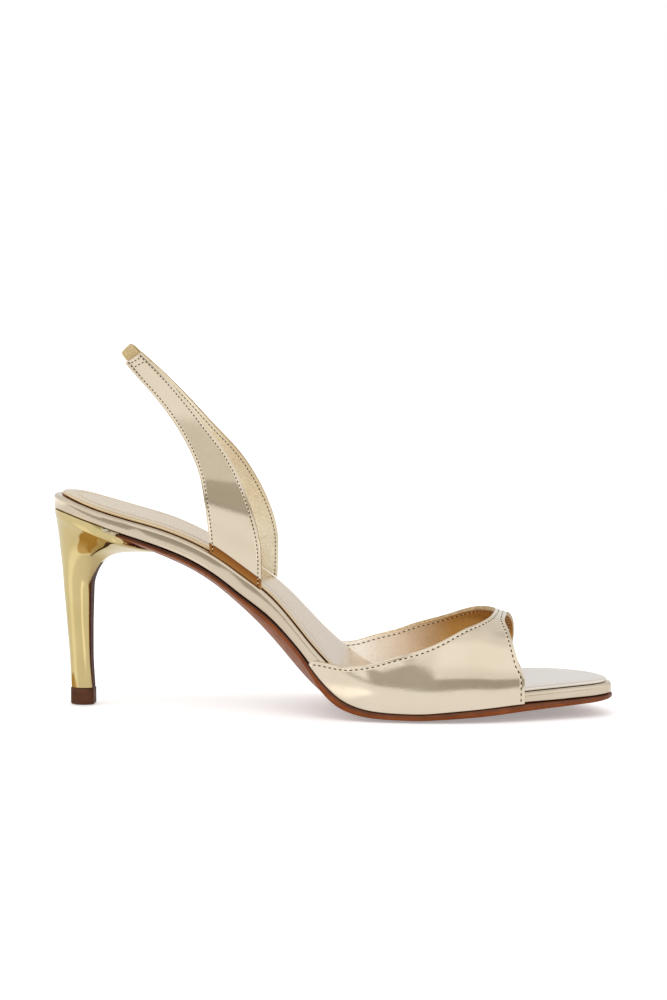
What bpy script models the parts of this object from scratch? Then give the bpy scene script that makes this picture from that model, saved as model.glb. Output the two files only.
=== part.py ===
"""Slingback sandal with a stiletto heel, left shoe. Metres, +Z up, toe towards +X.

The origin is the centre of the heel tip's ground face. The medial side faces -Y.
"""

import math

import bmesh
import bpy
import numpy as np

MM = 0.001

# Driving sizes, all in millimetres
LENGTH = 221.6          # back of the rim to the tip of the toe, level
HEEL_BACK = 11.3        # how far the rim reaches behind the heel tip's centre
BALL_WIDTH = 77.3       # widest line across the forefoot
SEAT_RISE = 84.8        # top of the rim at the back of the seat
INSTEP_RISE = 53.7      # height of the upper's back end over the feather line
RIM_DEPTH = 5.6         # depth of the covered insole at its edge
KEEL_DEPTH = 10.0       # how far the board's waist bellies below its edge
RIM_TUCK = 0.4          # the covered rim lies this much inside the last's outline
RIM_ROUND = 1.5         # rounding of the rim's top edge
SOLE_EDGE = 2.6         # depth of the outsole's edge
WELT = 1.4              # how far the outsole stands past the last's outline at the ball
SOCK_INSET = 3.4        # sock edge inside the rim edge, at heel and waist
SOCK_TOE_INSET = 1.9    # the same at the toe
SOCK_DEPTH = 1.4        # depth of the padded sock
VAMP_WALL = 1.7         # vamp leather with its lining
VAMP_LEAN = 0.05        # lean of the vamp's sides at the top, as a share of its rise
SLING_WALL = 1.6        # sling leather with its lining
SLING_INSET = 1.0       # sling's outer face inside the rim edge
ELASTIC_WALL = 1.1      # thickness of the elastic
ELASTIC_WIDTH = 5.4     # width of the elastic
ELASTIC_REACH = 5.0     # how far the elastic's bend reaches past the sling ends
ELASTIC_OVERLAP = 5.0   # length of elastic lying inside each sling end
SEAT_HALF = 24.6        # half width of the heel's seat
TOP_LIFT_DEPTH = 6.5    # height of the heel tip
TOP_LIFT_SWELL = 0.3    # how far the heel tip stands past the shaft's end
FLAT_TURN = 142.0       # turn of the shaft's round side, in degrees, before its flat breast
GAP = 0.3               # clearance between pieces that touch
BELLY_GAP = 0.2         # further clearance under the curved belly of the board
SOLE_BLUNT = 3.0        # rounding of the outsole's rear end in plan
CUT_ROOM = 3.0          # how far the heel's cutters stand past the last's outline
CUT_EDGE = 0.35         # corner taken off the vamp's cut edges
STATION_COUNT = 44      # stations along the sole
SPINE_REAR = 0.105      # rear end of the line that the plates close on, as a share of LENGTH
SPINE_FRONT = 0.854     # its front end
SOLE_SPINE_REAR = 0.178  # the same for the outsole

# Outline of the last's bottom: station as a share of LENGTH, medial and lateral half widths as
# shares of BALL_WIDTH
PLAN = (
    (0.000, 0.000, 0.000),
    (0.015, 0.150, 0.150),
    (0.035, 0.228, 0.228),
    (0.060, 0.278, 0.278),
    (0.100, 0.316, 0.316),
    (0.150, 0.326, 0.326),
    (0.200, 0.315, 0.317),
    (0.250, 0.287, 0.297),
    (0.300, 0.263, 0.280),
    (0.350, 0.259, 0.287),
    (0.400, 0.281, 0.316),
    (0.450, 0.332, 0.368),
    (0.500, 0.388, 0.430),
    (0.550, 0.438, 0.482),
    (0.600, 0.467, 0.512),
    (0.650, 0.478, 0.521),
    (0.700, 0.475, 0.516),
    (0.750, 0.457, 0.496),
    (0.800, 0.423, 0.466),
    (0.850, 0.375, 0.420),
    (0.900, 0.313, 0.355),
    (0.940, 0.257, 0.264),
    (0.970, 0.215, 0.160),
    (0.990, 0.165, 0.040),
    (1.000, 0.078, -0.078),
)

# Side view of the insole: station, top of the rim as a share of SEAT_RISE, depth of the rim as a
# share of RIM_DEPTH, belly below the edge as a share of KEEL_DEPTH
BOARD = (
    (0.000, 1.000, 1.00, 0.06),
    (0.035, 0.983, 0.98, 0.18),
    (0.060, 0.961, 0.95, 0.23),
    (0.100, 0.927, 0.92, 0.28),
    (0.150, 0.889, 0.96, 0.30),
    (0.200, 0.852, 1.07, 0.32),
    (0.250, 0.800, 1.11, 0.35),
    (0.300, 0.730, 1.21, 0.39),
    (0.350, 0.638, 1.32, 0.50),
    (0.400, 0.541, 1.27, 0.74),
    (0.450, 0.402, 1.19, 0.88),
    (0.475, 0.326, 1.37, 0.76),
    (0.500, 0.261, 1.53, 0.46),
    (0.520, 0.211, 1.50, 0.32),
    (0.550, 0.150, 1.20, 0.18),
    (0.580, 0.113, 0.94, 0.12),
    (0.620, 0.095, 0.80, 0.09),
    (0.670, 0.092, 0.79, 0.09),
    (0.720, 0.101, 0.77, 0.09),
    (0.780, 0.113, 0.75, 0.09),
    (0.850, 0.130, 0.74, 0.09),
    (0.920, 0.140, 0.77, 0.06),
    (0.970, 0.147, 0.77, 0.03),
    (1.000, 0.152, 0.75, 0.01),
)

# Side view of the outsole: station, ground side on the centre line as a share of the height of
# the board's underside there, depth of the edge as a share of SOLE_EDGE, stand past the last's
# outline as a share of WELT
GROUND = (
    (0.115, 0.985, 0.50, -0.90),
    (0.150, 0.978, 0.55, -0.90),
    (0.190, 0.966, 0.60, -0.90),
    (0.220, 0.960, 0.60, -0.90),
    (0.250, 0.957, 0.62, -0.90),
    (0.280, 0.951, 0.65, -0.90),
    (0.310, 0.943, 0.68, -0.90),
    (0.340, 0.935, 0.70, -0.90),
    (0.370, 0.916, 0.75, -0.90),
    (0.400, 0.879, 0.80, -0.80),
    (0.430, 0.833, 0.85, -0.50),
    (0.455, 0.792, 1.00, 0.00),
    (0.480, 0.750, 1.30, 0.50),
    (0.500, 0.653, 1.60, 0.80),
    (0.520, 0.538, 1.45, 1.00),
    (0.545, 0.343, 1.20, 1.00),
    (0.570, 0.150, 1.05, 1.00),
    (0.600, 0.000, 0.95, 1.00),
    (0.650, 0.000, 0.90, 1.00),
    (0.690, 0.000, 0.92, 1.00),
    (0.720, 0.152, 1.00, 1.00),
    (0.760, 0.331, 1.05, 1.00),
    (0.800, 0.448, 1.08, 1.00),
    (0.850, 0.525, 1.05, 0.60),
    (0.900, 0.573, 0.92, 0.20),
    (0.940, 0.627, 0.85, 0.10),
    (0.970, 0.680, 0.80, 0.00),
    (0.985, 0.724, 0.75, 0.00),
    (1.003, 0.803, 0.60, 0.00),
)

# Height of the upper's outer face over the feather line: station, share of INSTEP_RISE
INSTEP = (
    (0.450, 1.000),
    (0.500, 0.961),
    (0.570, 0.873),
    (0.640, 0.784),
    (0.700, 0.730),
    (0.750, 0.704),
    (0.770, 0.672),
    (0.795, 0.606),
    (0.820, 0.580),
    (0.840, 0.557),
    (0.890, 0.472),
)

# Edges of the vamp, from the medial to the lateral side: turn across the foot, station of the
# throat edge, station of the toe opening's edge
VAMP = (
    (0.000, 0.473, 0.850),
    (0.005, 0.482, 0.850),
    (0.015, 0.498, 0.850),
    (0.030, 0.520, 0.850),
    (0.050, 0.552, 0.850),
    (0.075, 0.588, 0.847),
    (0.105, 0.624, 0.840),
    (0.140, 0.665, 0.836),
    (0.185, 0.705, 0.8315),
    (0.245, 0.741, 0.826),
    (0.310, 0.769, 0.820),
    (0.415, 0.787, 0.811),
    (0.510, 0.791, 0.811),
    (0.575, 0.787, 0.812),
    (0.640, 0.775, 0.815),
    (0.700, 0.751, 0.818),
    (0.760, 0.714, 0.820),
    (0.815, 0.669, 0.820),
    (0.850, 0.639, 0.8195),
    (0.890, 0.605, 0.8175),
    (0.930, 0.560, 0.820),
    (0.960, 0.530, 0.826),
    (0.980, 0.507, 0.832),
    (1.000, 0.475, 0.841),
)

# Sling strap from its foot to its end: way along, rear edge's station and height, front edge's
# station and height (shares of LENGTH and SEAT_RISE), spread from the centre as a share of
# BALL_WIDTH
SLING = (
    (0.00, 0.293, 0.740, 0.384, 0.590, 0.240),
    (0.10, 0.292, 0.825, 0.385, 0.690, 0.254),
    (0.20, 0.290, 0.896, 0.384, 0.784, 0.270),
    (0.32, 0.285, 0.990, 0.373, 0.913, 0.277),
    (0.45, 0.277, 1.095, 0.353, 1.053, 0.262),
    (0.58, 0.257, 1.211, 0.325, 1.188, 0.217),
    (0.70, 0.231, 1.320, 0.289, 1.298, 0.171),
    (0.82, 0.196, 1.434, 0.246, 1.436, 0.124),
    (0.92, 0.161, 1.526, 0.200, 1.565, 0.089),
    (1.00, 0.135, 1.603, 0.164, 1.652, 0.071),
)
SLING_FORWARD = 2.3     # how far the lateral strap's foot stands forward of the medial one's

# The lateral strap's stand forward of the medial one: way along, share of SLING_FORWARD
SLING_LEAN = (
    (0.00, 0.70),
    (0.20, 1.00),
    (0.45, 0.30),
    (0.65, -0.35),
    (0.85, -0.60),
    (1.00, -0.70),
)

# Heel levels from the seat down: way down, back edge's station and height, breast's station and
# height, half width as a share of SEAT_HALF, change from the seat's shape to the shaft's.
# Heights are shares of the rise from the top lift to the seat.
HEEL = (
    (0.00, 0.0020, 1.010, 0.193, 0.830, 1.000, 0.00),
    (0.06, 0.0020, 0.915, 0.193, 0.703, 1.000, 0.00),
    (0.12, 0.0040, 0.881, 0.187, 0.694, 0.920, 0.00),
    (0.18, 0.0060, 0.840, 0.168, 0.695, 0.790, 0.10),
    (0.25, 0.0090, 0.778, 0.139, 0.695, 0.640, 0.25),
    (0.32, 0.0110, 0.717, 0.110, 0.682, 0.500, 0.50),
    (0.40, 0.0140, 0.644, 0.088, 0.638, 0.380, 0.80),
    (0.47, 0.0160, 0.580, 0.075, 0.580, 0.310, 1.00),
    (0.53, 0.0170, 0.528, 0.070, 0.526, 0.280, 1.00),
    (0.62, 0.0200, 0.426, 0.069, 0.426, 0.248, 1.00),
    (0.72, 0.0235, 0.297, 0.068, 0.297, 0.224, 1.00),
    (0.83, 0.0270, 0.169, 0.068, 0.169, 0.203, 1.00),
    (0.94, 0.0290, 0.047, 0.070, 0.047, 0.189, 1.00),
    (1.00, 0.0300, 0.000, 0.071, 0.000, 0.187, 1.00),
)

# Seat of the heel in plan: turn, way along, half width as a share
SEAT_PLAN = (
    (0.0, 0.000, 0.000),
    (0.1, 0.024, 0.280),
    (0.2, 0.095, 0.550),
    (0.3, 0.206, 0.760),
    (0.4, 0.345, 0.910),
    (0.5, 0.500, 0.985),
    (0.6, 0.655, 0.960),
    (0.7, 0.794, 0.720),
    (0.8, 0.905, 0.430),
    (0.9, 0.976, 0.190),
    (1.0, 1.000, 0.000),
)


def smooth(table, at, column):
    """Monotone cubic reading of a table's column at a value of its first column."""
    xs = [row[0] for row in table]
    ys = [row[column] for row in table]
    if at <= xs[0]:
        return ys[0] + (at - xs[0]) * (ys[1] - ys[0]) / (xs[1] - xs[0])
    if at >= xs[-1]:
        return ys[-1] + (at - xs[-1]) * (ys[-1] - ys[-2]) / (xs[-1] - xs[-2])
    k = max(i for i in range(len(xs) - 1) if xs[i] <= at)
    run = [xs[i + 1] - xs[i] for i in range(len(xs) - 1)]
    slope = [(ys[i + 1] - ys[i]) / run[i] for i in range(len(run))]

    def tangent(i):
        if i == 0:
            return slope[0]
        if i == len(xs) - 1:
            return slope[-1]
        if slope[i - 1] * slope[i] <= 0:
            return 0.0
        a = 2 * run[i] + run[i - 1]
        b = run[i] + 2 * run[i - 1]
        return (a + b) / (a / slope[i - 1] + b / slope[i])

    u = (at - xs[k]) / run[k]
    low = (1 + 2 * u) * (1 - u) ** 2 * ys[k] + u * (1 - u) ** 2 * run[k] * tangent(k)
    high = u * u * (3 - 2 * u) * ys[k + 1] + u * u * (u - 1) * run[k] * tangent(k + 1)
    return low + high


def station_x(share):
    return share * LENGTH - HEEL_BACK


def share_of(x):
    return (x + HEEL_BACK) / LENGTH


def turn_of(share):
    """Angle along a half circle laid over the length, which makes both tips round."""
    return math.acos(max(-1.0, min(1.0, 1 - 2 * share)))


PLAN_TURN = tuple((turn_of(row[0]), row[1], row[2]) for row in PLAN)


def half_width(x, side):
    """Half width of the last's bottom. side is -1 for medial, 1 for lateral."""
    column = 1 if side < 0 else 2
    return smooth(PLAN_TURN, turn_of(share_of(x)), column) * BALL_WIDTH


def rim_top(x):
    return smooth(BOARD, share_of(x), 1) * SEAT_RISE


def rim_depth(x):
    return smooth(BOARD, share_of(x), 2) * RIM_DEPTH


def keel(x):
    return smooth(BOARD, share_of(x), 3) * KEEL_DEPTH


def sideways(x, y):
    """Way from the centre line, 0, to the last's outline, 1."""
    left = half_width(x, 1)
    right = half_width(x, -1)
    half = max(0.5, (left + right) / 2)
    return min(1.0, abs(y - (left - right) / 2) / half)


def edge_under(x):
    return rim_top(x) - rim_depth(x)


def board_under(x, y):
    """Underside of the insole, which bellies down between its edges."""
    return edge_under(x) - keel(x) * (1 - sideways(x, y) ** 2)


def sole_under(x, y):
    """Ground side of the outsole: level in the middle, risen at the edge."""
    spine = (half_width(x, 1) - half_width(x, -1)) / 2
    centre = smooth(GROUND, share_of(x), 1) * board_under(x, spine)
    edge = edge_under(x) - GAP - smooth(GROUND, share_of(x), 2) * SOLE_EDGE
    bend = max(0.0, (sideways(x, y) - 0.25) / 0.75)
    return centre + (edge - centre) * bend ** 2


def stations(x_first=None, close=()):
    """Stations along the sole, shared by its layers so that their facets lie alike.

    x_first starts them part of the way along, with a few close ones after it.
    """
    rows = []
    for i in range(STATION_COUNT + 1):
        u = i / STATION_COUNT
        bent = u + 0.045 * math.sin(2 * math.pi * u)
        rows.append(station_x((1 - math.cos(math.pi * bent)) / 2))
    if x_first is None:
        return rows
    start = [x_first + step for step in (0.0, *close)]
    return start + [x for x in rows if x > start[-1] + 0.0045 * LENGTH]


def outline(xs, stand, blunt=0.0):
    """Closed outline, medial side out and lateral side back, as points with outward normals.

    stand(x) moves it out of the last's outline. blunt rounds a rear end that isn't the heel's.
    """
    sides = {}
    for side in (-1, 1):
        rows = []
        for x in xs:
            wide = half_width(x, side)
            if blunt:
                near = min(1.0, (x - xs[0]) / blunt)
                wide *= math.sqrt(max(0.0, 1 - (1 - near) ** 2))
            rows.append(np.array([x, side * wide]))
        sides[side] = rows
    loop = sides[-1] + sides[1][-2:0:-1]
    loop[0] = (sides[-1][0] + sides[1][0]) / 2
    loop[len(xs) - 1] = (sides[-1][-1] + sides[1][-1]) / 2
    total = len(loop)
    out = []
    for i, p in enumerate(loop):
        along = loop[(i + 1) % total] - loop[i - 1]
        along /= np.linalg.norm(along)
        normal = np.array([along[1], -along[0]])
        out.append((p + normal * stand(p[0]), normal))
    return out


def spine_point(p, rear, front):
    x = min(max(p[0], station_x(rear)), station_x(front))
    return np.array([x, (half_width(x, 1) - half_width(x, -1)) / 2])


def solid(name, rings, caps="ladder"):
    """Closed body through rings of equal counts. The end rings close with a ladder or a face."""
    mesh = bpy.data.meshes.new(name)
    bm = bmesh.new()
    rows = [[bm.verts.new([c * MM for c in p]) for p in ring] for ring in rings]
    count = len(rows[0])
    for a, b in zip(rows, rows[1:]):
        for i in range(count):
            j = (i + 1) % count
            bm.faces.new((a[i], a[j], b[j], b[i]))
    if caps == "ladder":
        half = count // 2
        for ring, flip in ((rows[0], True), (rows[-1], False)):
            for k in range(half):
                p, q = ring[k], ring[k + 1]
                r, s = ring[(count - k - 1) % count], ring[(count - k) % count]
                face = [p, q, r, s]
                if k == 0:
                    face = [p, q, r]
                if k == half - 1:
                    face = [p, q, s]
                bm.faces.new(face[::-1] if flip else face)
    else:
        bm.faces.new(rows[0][::-1])
        bm.faces.new(rows[-1])
    bmesh.ops.recalc_face_normals(bm, faces=bm.faces)
    bm.to_mesh(mesh)
    bm.free()
    mesh.update()
    return bpy.data.objects.new(name, mesh)


def plate(name, edge, rear, front, spec):
    """Body that follows an outline. spec rows: inset, share inwards, height function."""
    rings = []
    for inset, inward, height in spec:
        ring = []
        for p, normal in edge:
            q = p - normal * inset
            q = q + (spine_point(q, rear, front) - q) * inward
            ring.append((q[0], q[1], height(q[0], q[1])))
        rings.append(ring)
    return solid(name, rings)


def open_sheet(name, grid):
    """Open surface of quads through rows of points."""
    mesh = bpy.data.meshes.new(name)
    bm = bmesh.new()
    rows = [[bm.verts.new([c * MM for c in p]) for p in row] for row in grid]
    for a, b in zip(rows, rows[1:]):
        for i in range(len(a) - 1):
            bm.faces.new((a[i], a[i + 1], b[i + 1], b[i]))
    bm.to_mesh(mesh)
    bm.free()
    mesh.update()
    return bpy.data.objects.new(name, mesh)


def thicken(obj, wall, side, rounding):
    """Solidify an open sheet and take the corner off its cut edges."""
    shell = obj.modifiers.new("wall", "SOLIDIFY")
    shell.thickness = wall * MM
    shell.offset = side
    shell.use_even_offset = True
    shell.use_quality_normals = True
    edge = obj.modifiers.new("edge", "BEVEL")
    edge.width = rounding * MM
    edge.segments = 1
    edge.limit_method = "ANGLE"
    edge.angle_limit = math.radians(60)


def paint(obj, colour, metallic, roughness):
    material = bpy.data.materials.new(obj.name)
    material.use_nodes = True
    shader = material.node_tree.nodes["Principled BSDF"]
    shader.inputs["Base Color"].default_value = (*colour, 1)
    shader.inputs["Metallic"].default_value = metallic
    shader.inputs["Roughness"].default_value = roughness
    obj.data.materials.append(material)
    obj.data.shade_smooth()
    obj.data.set_sharp_from_angle(angle=math.radians(38))


def make_insole():
    edge = outline(stations(), lambda x: -RIM_TUCK)
    top = lambda x, y: rim_top(x)
    spec = [
        (0, 0.80, top),
        (0, 0.45, top),
        (0, 0.18, top),
        (RIM_ROUND, 0, top),
        (RIM_ROUND * 0.55, 0, lambda x, y: rim_top(x) - RIM_ROUND * 0.11),
        (RIM_ROUND * 0.18, 0, lambda x, y: rim_top(x) - RIM_ROUND * 0.43),
        (0, 0, lambda x, y: rim_top(x) - RIM_ROUND),
        (0, 0, lambda x, y: board_under(x, y) + RIM_ROUND * 0.47),
        (RIM_ROUND * 0.33, 0, board_under),
        (RIM_ROUND * 0.33, 0.12, board_under),
        (0, 0.32, board_under),
        (0, 0.55, board_under),
        (0, 0.80, board_under),
    ]
    return plate("insole", edge, SPINE_REAR, SPINE_FRONT, spec)


def make_sock():
    def stand(x):
        toe = max(0.0, min(1.0, (share_of(x) - 0.5) / 0.35))
        return -RIM_TUCK - SOCK_INSET + (SOCK_INSET - SOCK_TOE_INSET) * toe

    edge = outline(stations(), stand)
    low = lambda x, y: rim_top(x) + GAP
    top = lambda x, y: rim_top(x) + GAP + SOCK_DEPTH
    spec = [
        (0, 0.80, top),
        (0, 0.45, top),
        (0, 0.15, top),
        (SOCK_DEPTH * 0.64, 0, lambda x, y: top(x, y) - SOCK_DEPTH * 0.04),
        (SOCK_DEPTH * 0.18, 0, lambda x, y: top(x, y) - SOCK_DEPTH * 0.32),
        (0, 0, lambda x, y: top(x, y) - SOCK_DEPTH * 0.68),
        (SOCK_DEPTH * 0.14, 0, low),
        (0, 0.15, low),
        (0, 0.45, low),
        (0, 0.80, low),
    ]
    return plate("sock", edge, SPINE_REAR, SPINE_FRONT, spec)


SOLE_START = 0.115


def sole_stand(x):
    return smooth(GROUND, share_of(x), 3) * WELT


def make_outsole():
    close = (SOLE_BLUNT * 0.10, SOLE_BLUNT * 0.33, SOLE_BLUNT * 0.67)
    edge = outline(stations(station_x(SOLE_START), close), sole_stand, blunt=SOLE_BLUNT)
    over = lambda x, y: board_under(x, y) - GAP - BELLY_GAP * (1 - sideways(x, y) ** 2)
    spec = [
        (0, 0.80, over),
        (0, 0.55, over),
        (0, 0.32, over),
        (SOLE_EDGE * 0.19, 0.12, over),
        (SOLE_EDGE * 0.11, 0, over),
        (0, 0, lambda x, y: over(x, y) - SOLE_EDGE * 0.11),
        (0, 0, lambda x, y: sole_under(x, y) + SOLE_EDGE * 0.17),
        (SOLE_EDGE * 0.13, 0, sole_under),
        (SOLE_EDGE * 0.15, 0.08, sole_under),
        (0, 0.20, sole_under),
        (0, 0.36, sole_under),
        (0, 0.54, sole_under),
        (0, 0.75, sole_under),
    ]
    return plate("outsole", edge, SOLE_SPINE_REAR, SPINE_FRONT, spec)


def last_point(x, turn, out=0.0):
    """Point of the vamp's outer face. turn runs from the medial feather to the lateral one."""
    angle = math.pi * turn
    wide = (half_width(x, -1) + half_width(x, 1)) / 2 - RIM_TUCK + GAP + VAMP_WALL + out
    centre = (half_width(x, 1) - half_width(x, -1)) / 2
    rise = smooth(INSTEP, share_of(x), 1) * INSTEP_RISE
    up = rise * max(0.0, math.sin(angle)) ** 0.62
    wide -= VAMP_LEAN * up * up / rise
    y = centre - wide * math.copysign(abs(math.cos(angle)) ** 0.75, math.cos(angle))
    return np.array([x, y, edge_under(x) + up])


def even_turns(count, x):
    """Turns that are evenly spaced along the section at x."""
    fine = [i / 600 for i in range(601)]
    pts = [last_point(x, t) for t in fine]
    run = [0.0]
    for a, b in zip(pts, pts[1:]):
        run.append(run[-1] + float(np.linalg.norm(b - a)))
    return [float(np.interp(run[-1] * i / count, run, fine)) for i in range(count + 1)]


def make_vamp():
    grid = []
    for turn in even_turns(46, station_x(0.70)):
        x0 = station_x(smooth(VAMP, turn, 1))
        x1 = station_x(smooth(VAMP, turn, 2))
        grid.append([last_point(x0 + (x1 - x0) * k / 12, turn) for k in range(13)])
    obj = open_sheet("vamp", grid)
    thicken(obj, VAMP_WALL, -1.0, CUT_EDGE)
    return obj


def sling_point(way, across, side):
    rear_x = station_x(smooth(SLING, way, 1))
    front_x = station_x(smooth(SLING, way, 3))
    x = rear_x + (front_x - rear_x) * across
    z = (smooth(SLING, way, 2) * (1 - across) + smooth(SLING, way, 4) * across) * SEAT_RISE
    foot = rim_top(x) + GAP
    settle = max(0.0, 1 - way / 0.10)
    z = z * (1 - settle) + foot * settle
    spread = smooth(SLING, way, 5) * BALL_WIDTH
    base = half_width(x, side) - RIM_TUCK - SLING_INSET - SLING_WALL / 2
    ease = min(1.0, way / 0.26)
    ease = ease * ease * (3 - 2 * ease)
    y = base * (1 - ease) + spread * ease
    if side > 0:
        x += smooth(SLING_LEAN, way, 1) * SLING_FORWARD
    return np.array([x, side * y, z])


def make_sling(name, side):
    ways = [i / 26 for i in range(27)]
    grid = [[sling_point(w, a / 6, side) for a in range(7)] for w in ways]
    obj = open_sheet(name, grid)
    thicken(obj, SLING_WALL, 0.0, SLING_WALL * 0.19)
    return obj


def make_elastic():
    """Band that starts inside one sling end, bends round behind the heel and ends in the other."""
    end = (sling_point(1, 0, -1) + sling_point(1, 1, -1)) / 2
    before = (sling_point(0.9, 0, -1) + sling_point(0.9, 1, -1)) / 2
    back = np.array([end[0] - before[0], 0, end[2] - before[2]])
    back /= np.linalg.norm(back)
    across = np.array([-back[2], 0, back[0]]) * -1
    origin = np.array([end[0], 0, end[2]])
    inner = abs(end[1]) - SLING_WALL / 2 - GAP - ELASTIC_WALL / 2
    slope = (abs(before[1]) - abs(end[1])) / float(np.linalg.norm(end - before))
    path = []
    for k in range(4):
        along = -ELASTIC_OVERLAP * (1 - k / 4)
        path.append((along, -(inner - slope * along)))
    for k in range(13):
        turn = math.pi * k / 12
        path.append((ELASTIC_REACH * math.sin(turn), -inner * math.cos(turn)))
    for k in range(1, 5):
        along = -ELASTIC_OVERLAP * k / 4
        path.append((along, inner - slope * along))
    grid = []
    for along, y in path:
        centre = origin + back * along + np.array([0, y, 0])
        grid.append([centre + across * ELASTIC_WIDTH * (s / 3 - 0.5) for s in range(4)])
    obj = open_sheet("sling_elastic", grid)
    thicken(obj, ELASTIC_WALL, 0.0, ELASTIC_WALL * 0.18)
    return obj


def shaft_plan(turn):
    """Round back and flat breast with a crisp corner: way along, half width, as shares."""
    full = math.radians(FLAT_TURN)
    if turn <= 0.8:
        angle = full * turn / 0.8
        return (1 - math.cos(angle)) / (1 - math.cos(full)), math.sin(angle)
    return 1.0, math.sin(full) * (1 - (turn - 0.8) / 0.2)


def heel_ring(way, swell=0.0, level=None):
    base = TOP_LIFT_DEPTH + GAP
    rise = SEAT_RISE - base
    back_x = station_x(smooth(HEEL, way, 1)) - swell
    front_x = station_x(smooth(HEEL, way, 3)) + swell
    back_z = base + smooth(HEEL, way, 2) * rise
    front_z = base + smooth(HEEL, way, 4) * rise
    half = smooth(HEEL, way, 5) * SEAT_HALF + swell
    blend = smooth(HEEL, way, 6)
    turns = [i / 20 for i in range(21)]
    side = []
    for t in turns:
        seat = (smooth(SEAT_PLAN, t, 1), smooth(SEAT_PLAN, t, 2))
        shaft = shaft_plan(t)
        along = seat[0] * (1 - blend) + shaft[0] * blend
        wide = seat[1] * (1 - blend) + shaft[1] * blend
        x = back_x + (front_x - back_x) * along
        z = back_z + (front_z - back_z) * along if level is None else level
        side.append((x, wide * half, z))
    ring = [(x, -y, z) for x, y, z in side] + [(x, y, z) for x, y, z in side[-2:0:-1]]
    return ring


def cut_away(obj, cutter):
    cut = obj.modifiers.new("cut " + cutter.name, "BOOLEAN")
    cut.operation = "DIFFERENCE"
    cut.solver = "EXACT"
    cut.object = cutter


def make_heel(cutters):
    ways = [0.0, 0.03, 0.06, 0.09, 0.12, 0.15, 0.18, 0.215, 0.25, 0.285, 0.32, 0.36, 0.40, 0.435]
    ways += [0.47, 0.50, 0.53, 0.575, 0.62, 0.67, 0.72, 0.775, 0.83, 0.885, 0.94, 1.0]
    heel = solid("heel", [heel_ring(w) for w in ways], caps="face")
    for cutter in cutters:
        cut_away(heel, cutter)
    return heel


def make_cutters():
    """Rooms for the insole and the outsole, each one clearance larger than its piece."""
    high = lambda x, y: rim_top(x) + SEAT_RISE * 0.35
    stand = lambda x: CUT_ROOM
    seat = outline(stations(), stand)
    under = lambda x, y: board_under(x, y) - GAP
    board = plate("room_for_board", seat, SPINE_REAR, SPINE_FRONT, [
        (0, 0.80, high),
        (0, 0.3, high),
        (0, 0, high),
        (0, 0, under),
        (CUT_ROOM * 1.17, 0, under),
        (CUT_ROOM * 1.17, 0.12, under),
        (CUT_ROOM, 0.32, under),
        (CUT_ROOM, 0.55, under),
        (CUT_ROOM, 0.80, under),
    ])
    close = (SOLE_BLUNT * 0.13, SOLE_BLUNT * 0.43)
    behind = stations(station_x(SOLE_START) - GAP, close)
    rear = outline(behind, stand, blunt=SOLE_BLUNT / 2)
    low = lambda x, y: sole_under(x, y) - GAP
    sole = plate("room_for_sole", rear, SOLE_SPINE_REAR, SPINE_FRONT, [
        (0, 0.80, high),
        (0, 0.3, high),
        (0, 0, high),
        (0, 0, low),
        (CUT_ROOM * 1.27, 0, low),
        (CUT_ROOM * 1.27, 0.12, low),
        (CUT_ROOM * 1.13, 0.3, low),
        (CUT_ROOM * 1.13, 0.5, low),
        (CUT_ROOM * 1.13, 0.75, low),
    ])
    return board, sole


def make_top_lift():
    rings = [
        heel_ring(1.0, -TOP_LIFT_SWELL * 0.17, TOP_LIFT_DEPTH),
        heel_ring(1.0, TOP_LIFT_SWELL, TOP_LIFT_DEPTH * 0.946),
        heel_ring(1.0, TOP_LIFT_SWELL, TOP_LIFT_DEPTH * 0.092),
        heel_ring(1.0, TOP_LIFT_SWELL * 0.4, TOP_LIFT_DEPTH * 0.023),
        heel_ring(1.0, -TOP_LIFT_SWELL * 0.5, 0.0),
    ]
    return solid("top_lift", rings, caps="face")


def main():
    for obj in list(bpy.data.objects):
        bpy.data.objects.remove(obj, do_unlink=True)
    shoe = bpy.data.collections.new("slingback_sandal")
    tools = bpy.data.collections.new("cutters")
    bpy.context.scene.collection.children.link(shoe)
    bpy.context.scene.collection.children.link(tools)

    cutters = make_cutters()
    for cutter in cutters:
        cutter.hide_render = True
        cutter.display_type = "WIRE"
        tools.objects.link(cutter)

    champagne = (0.62, 0.50, 0.36)
    gold = (0.60, 0.42, 0.18)
    leather = (0.34, 0.09, 0.03)
    pieces = [
        (make_outsole(), leather, 0.0, 0.42),
        (make_insole(), champagne, 1.0, 0.2),
        (make_sock(), (0.58, 0.50, 0.42), 0.7, 0.35),
        (make_vamp(), champagne, 1.0, 0.12),
        (make_sling("sling_medial", -1), champagne, 1.0, 0.14),
        (make_sling("sling_lateral", 1), champagne, 1.0, 0.14),
        (make_elastic(), gold, 0.6, 0.5),
        (make_heel(cutters), gold, 1.0, 0.1),
        (make_top_lift(), (0.09, 0.04, 0.02), 0.0, 0.45),
    ]
    for obj, colour, metallic, roughness in pieces:
        shoe.objects.link(obj)
        paint(obj, colour, metallic, roughness)


main()
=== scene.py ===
"""Slingback sandal dressed for its studio picture. Metres, +Z up, toe towards +X, left shoe."""

import math

import bmesh
import bpy
import numpy as np
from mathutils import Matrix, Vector
from mathutils.bvhtree import BVHTree


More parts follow.
